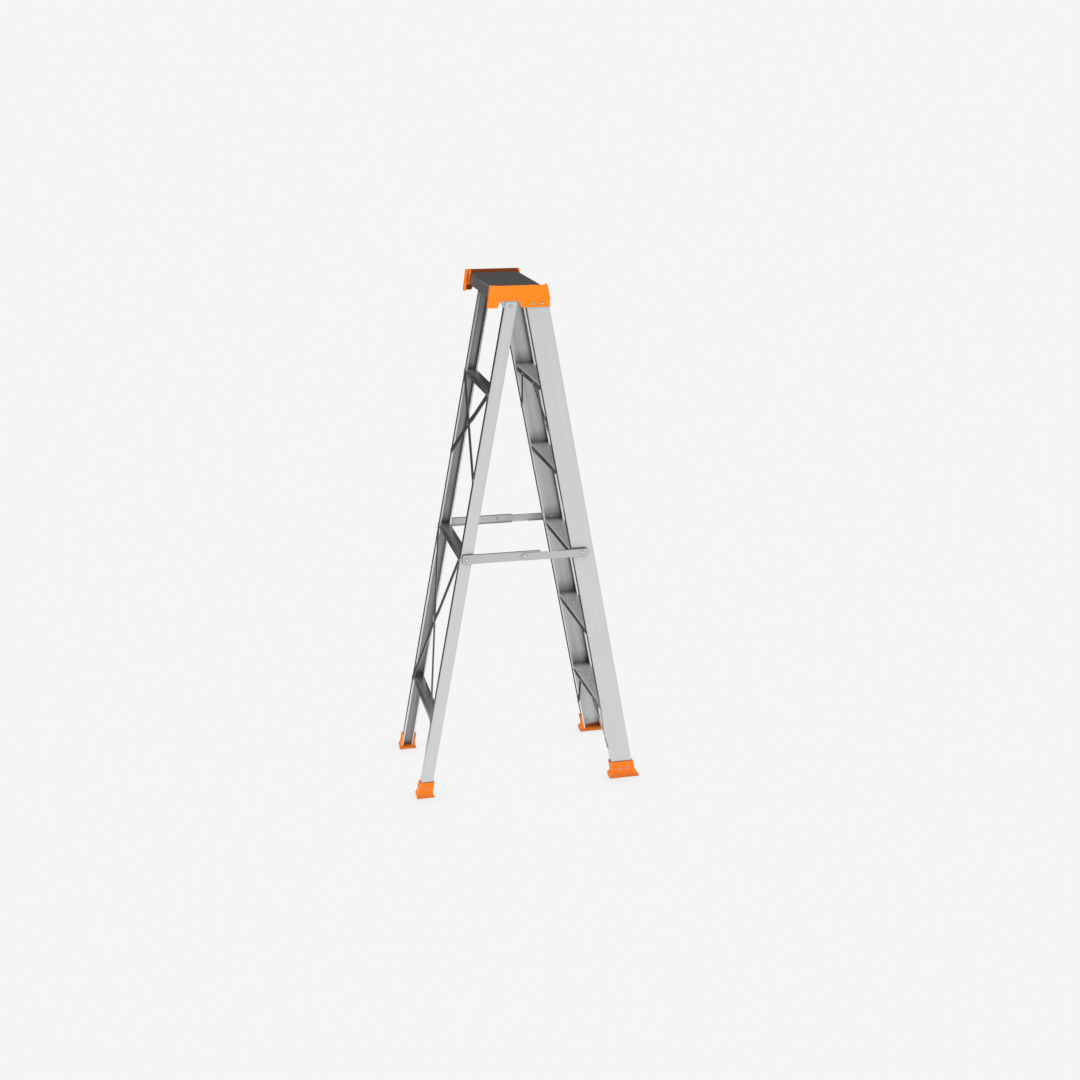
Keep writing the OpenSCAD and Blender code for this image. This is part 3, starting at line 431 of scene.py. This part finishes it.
finishes["cap"] = orange_plastic("orange_cap", painted_shade_amount=0.7)
finishes["boot"] = orange_plastic("orange_boot", painted_shade_amount=0.4, dust_top=0.035)
print("plastic finishes ready")

# %% [markdown]
# ## Which finish goes where
# A node's name says what it is, so a short list of word pairs is enough. The first word that
# is found in the name decides.

# %% Choose a finish
RULES = [
    ("crossbar_rivets", "frame_rivet"), ("brace_rivets", "frame_rivet"),
    ("rivet", "rivet"), ("washer", "rivet"),
    ("cap", "cap"), ("boot", "boot"), ("platform", "platform"),
    ("front_rail", "front_rail"), ("rear_rail", "rear_rail"), ("step_", "step"),
    ("crossbar", "brace"), ("brace", "brace"), ("link", "link"), ("bracket", "link"),
]


def finish_of(name):
    return next(finish for word, finish in RULES if word in name)


for name, node in nodes.items():
    node.data.materials.clear()
    node.data.materials.append(finishes[finish_of(name)])
print({finish: sum(finish_of(n) == finish for n in nodes) for finish in finishes})

# %% [markdown]
# ## Marks on faces
# Finishes need to know where a face sits. Outside a given distance from the middle, faces of
# rails, caps and boots that look inwards are marked inside, and most finishes paint them darker
# as shade. On a step, everything but the ribbed tread is marked inside, since only the tread is
# worn matt. The free edges of the rails' flanges lie nearer the middle and look inwards too, and
# they are marked for a painted highlight.

# %% Face marks
INSIDE_FROM = 0.220
TREAD_SLOPE = 0.7
FULLY_INWARDS = -0.9
PARTLY_INWARDS = -0.5


def place_and_turn(face):
    """Give a face's distance from the middle plane, and how far it points away from it."""
    sideways = face.calc_center_median().x
    return abs(sideways), face.normal.x * math.copysign(1.0, sideways)


def inside_mark(name, face):
    if finish_of(name) == "step":
        return float(face.normal.z < TREAD_SLOPE)
    distance, outwards = place_and_turn(face)
    return float(outwards < FULLY_INWARDS and distance > INSIDE_FROM)


# Marks the free edges of the rails' flanges for a painted highlight.
def painted_highlight_mark(name, face):
    distance, outwards = place_and_turn(face)
    return float("rail" in name and outwards < PARTLY_INWARDS and distance < INSIDE_FROM)


print("faces count as inside from", INSIDE_FROM, "m")

# %% [markdown]
# ## Softer edges
# A CAD edge is a perfect line and catches no light. Pressed sheet and moulded plastic have
# small radii. We copy a node's mesh, merge its loose triangles, join the flat ones, and bevel
# every sharp edge. The bevel's own faces get the edge attribute for the wear group.

# %% Soften a node
MERGE_WITHIN = 1e-6
FLAT_ANGLE = math.radians(0.5)
SHARP_ANGLE = math.radians(25)
SMOOTH_ANGLE = math.radians(32)
SHORTEST_EDGE = 0.0012
EDGE_RADII = {
    "cap": 0.0009, "boot": 0.0011, "front_rail": 0.0004, "rear_rail": 0.0004,
    "step": 0.0003, "platform": 0.0005, "brace": 0.0004, "link": 0.0005,
}


def smooth_by_angle(piece):
    piece.data.shade_smooth()
    piece.data.set_sharp_from_angle(angle=SMOOTH_ANGLE)


def is_sharp(edge):
    return (len(edge.link_faces) == 2 and edge.calc_face_angle() > SHARP_ANGLE
            and edge.calc_length() > SHORTEST_EDGE)


def soften(name, radius):
    bm = bmesh.new()
    bm.from_mesh(nodes[name].data)
    edge, inside, painted_highlight = (bm.faces.layers.float.new(m) for m in ("edge", "inside", "painted_highlight"))
    bmesh.ops.remove_doubles(bm, verts=bm.verts, dist=MERGE_WITHIN)
    bmesh.ops.dissolve_limit(bm, angle_limit=FLAT_ANGLE, verts=bm.verts, edges=bm.edges)
    sharp = [e for e in bm.edges if is_sharp(e)]
    made = bmesh.ops.bevel(
        bm, geom=sharp, offset=radius, offset_type="OFFSET", segments=2, profile=0.5,
        affect="EDGES", clamp_overlap=False, loop_slide=True, material=-1,
    )
    for face in made["faces"]:
        face[edge] = 1.0
    for face in bm.faces:
        face[inside] = inside_mark(name, face)
        face[painted_highlight] = painted_highlight_mark(name, face)
    bmesh.ops.triangulate(bm, faces=[f for f in bm.faces if len(f.verts) > 4])
    mesh = bpy.data.meshes.new(name + "_soft")
    bm.to_mesh(mesh)
    bm.free()
    mesh.materials.append(finishes[finish_of(name)])
    piece = bpy.data.objects.new(name + "_soft", mesh)
    bpy.context.scene.collection.objects.link(piece)
    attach(piece, body_of_node[name])
    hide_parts(name)
    smooth_by_angle(piece)
    return len(sharp), len(mesh.polygons)


for name in sorted(nodes):
    radius = EDGE_RADII.get(finish_of(name))
    if radius:
        print(name, "edges and faces", soften(name, radius))

# %% [markdown]
# ## Smooth rivets
# Rivet heads are domes. Their CAD mesh is fine enough, and only needs smooth shading.

# %% Rivets
for name, node in nodes.items():
    if "rivet" in finish_of(name):
        smooth_by_angle(node)
print("rivets shaded")

# %% [markdown]
# ## Studio
# The studio is white all round for the eye. Metal shows what it mirrors, so the room that
# reflections see is bright on the ladder's left, where the big light is, fades towards the right,
# and has one dark corner straight to the right. Sideways is a direction's share along X.

# %% Room
PALE = 0.915
WALL_BRIGHT, FLOOR_BRIGHT, FADED = 0.65, 0.80, 0.34
FADE_FROM, FADE_TO = -0.55, 0.25
CORNER_FROM, CORNER_TO = 0.62, 0.84
CORNER_DARKNESS = 0.05


def studio_tone(tree, sideways, bright):
    walls = ramp(tree, sideways, FADE_FROM, FADE_TO, bright, FADED)
    dark_corner = ramp(tree, sideways, CORNER_FROM, CORNER_TO, 1.0, CORNER_DARKNESS)
    return calculate(tree, "MULTIPLY", walls, dark_corner)


def pale_for_the_eye(tree, mirrored, seen):
    is_eye = add(tree, "ShaderNodeLightPath").outputs["Is Camera Ray"]
    return mix_number(tree, is_eye, mirrored, seen)


world = bpy.data.worlds.new("studio")
bpy.context.scene.world = world
world.use_nodes = True
room = world.node_tree
room.nodes.clear()
direction = add(room, "ShaderNodeTexCoord").outputs["Generated"]
room_tone = studio_tone(room, split_axes(room, direction)["X"], WALL_BRIGHT)
background = add(room, "ShaderNodeBackground", Color=(1, 1, 1, 1))
room.links.new(pale_for_the_eye(room, room_tone, PALE), background.inputs["Strength"])
room_end = add(room, "ShaderNodeOutputWorld")
room.links.new(background.outputs[0], room_end.inputs["Surface"])
print("room ready")

# %% [markdown]
# ## Floor
# Away from the ladder the floor glows by the room's rule, by the direction from the ladder's
# middle. Between the legs it glows bright. For the eye it glows as white as the room, with a
# painted shadow that darkens it softly under the boots.

# %% Floor
FLOOR_HALF_SIZE = 20.0
FLOOR_DROP = 0.0002
BETWEEN_LEGS, PAST_LEGS = 0.10, 0.45
CONTACT_REACH = 0.10
CONTACT_SHADE = 0.78

bm = bmesh.new()
bmesh.ops.create_grid(bm, x_segments=1, y_segments=1, size=FLOOR_HALF_SIZE)
floor_mesh = bpy.data.meshes.new("floor")
bm.to_mesh(floor_mesh)
bm.free()
floor = bpy.data.objects.new("floor", floor_mesh)
floor.location.z = -FLOOR_DROP
bpy.context.scene.collection.objects.link(floor)

floor_material = bpy.data.materials.new("floor_pale")
floor_material.use_nodes = True
tree = floor_material.node_tree
tree.nodes.clear()
spot = add(tree, "ShaderNodeNewGeometry").outputs["Position"]
from_middle = add(tree, "ShaderNodeVectorMath", {"operation": "NORMALIZE"})
tree.links.new(spot, from_middle.inputs[0])
far_tone = studio_tone(tree, split_axes(tree, from_middle.outputs[0])["X"], FLOOR_BRIGHT)
past_legs = ramp(tree, split_axes(tree, spot)["X"], BETWEEN_LEGS, PAST_LEGS)
floor_tone = mix_number(tree, past_legs, FLOOR_BRIGHT, far_tone)
# A painted shadow under the boots, from Ambient Occlusion.
contact = add(tree, "ShaderNodeAmbientOcclusion", {"samples": 16}, Distance=CONTACT_REACH)
seen = ramp(tree, contact.outputs["AO"], 0.0, 1.0, CONTACT_SHADE * PALE, PALE, kind="LINEAR")
glow = add(tree, "ShaderNodeEmission")
tree.links.new(pale_for_the_eye(tree, floor_tone, seen), glow.inputs["Strength"])
floor_end = add(tree, "ShaderNodeOutputMaterial")
tree.links.new(glow.outputs[0], floor_end.inputs["Surface"])
floor_mesh.materials.append(floor_material)
print("floor ready")

# %% [markdown]
# ## Lights
# A large soft light stands on the left. Two weaker ones fill the rear and the front, so that
# the plastic keeps its colour from every side. All three point at the middle of the ladder.

# %% Lights
LIGHT_SIZE = 3.0
LIGHTS = {  # name: (place in metres, power in watts)
    "key": ((-4.5, 1.0, 3.4), 170),
    "rear_fill": ((0.5, 4.5, 2.6), 130),
    "front_fill": ((0.5, -4.5, 2.6), 110),
}
LIGHT_TARGET = Vector((0, 0, 0.9))

for name, (place, power) in LIGHTS.items():
    data = bpy.data.lights.new(name, "AREA")
    data.shape = "DISK"
    data.size = LIGHT_SIZE
    data.energy = power
    light = bpy.data.objects.new(name, data)
    light.location = place
    light.rotation_euler = (LIGHT_TARGET - Vector(place)).to_track_quat("-Z", "Y").to_euler()
    light.visible_glossy = False
    bpy.context.scene.collection.objects.link(light)
print("lights:", list(LIGHTS))
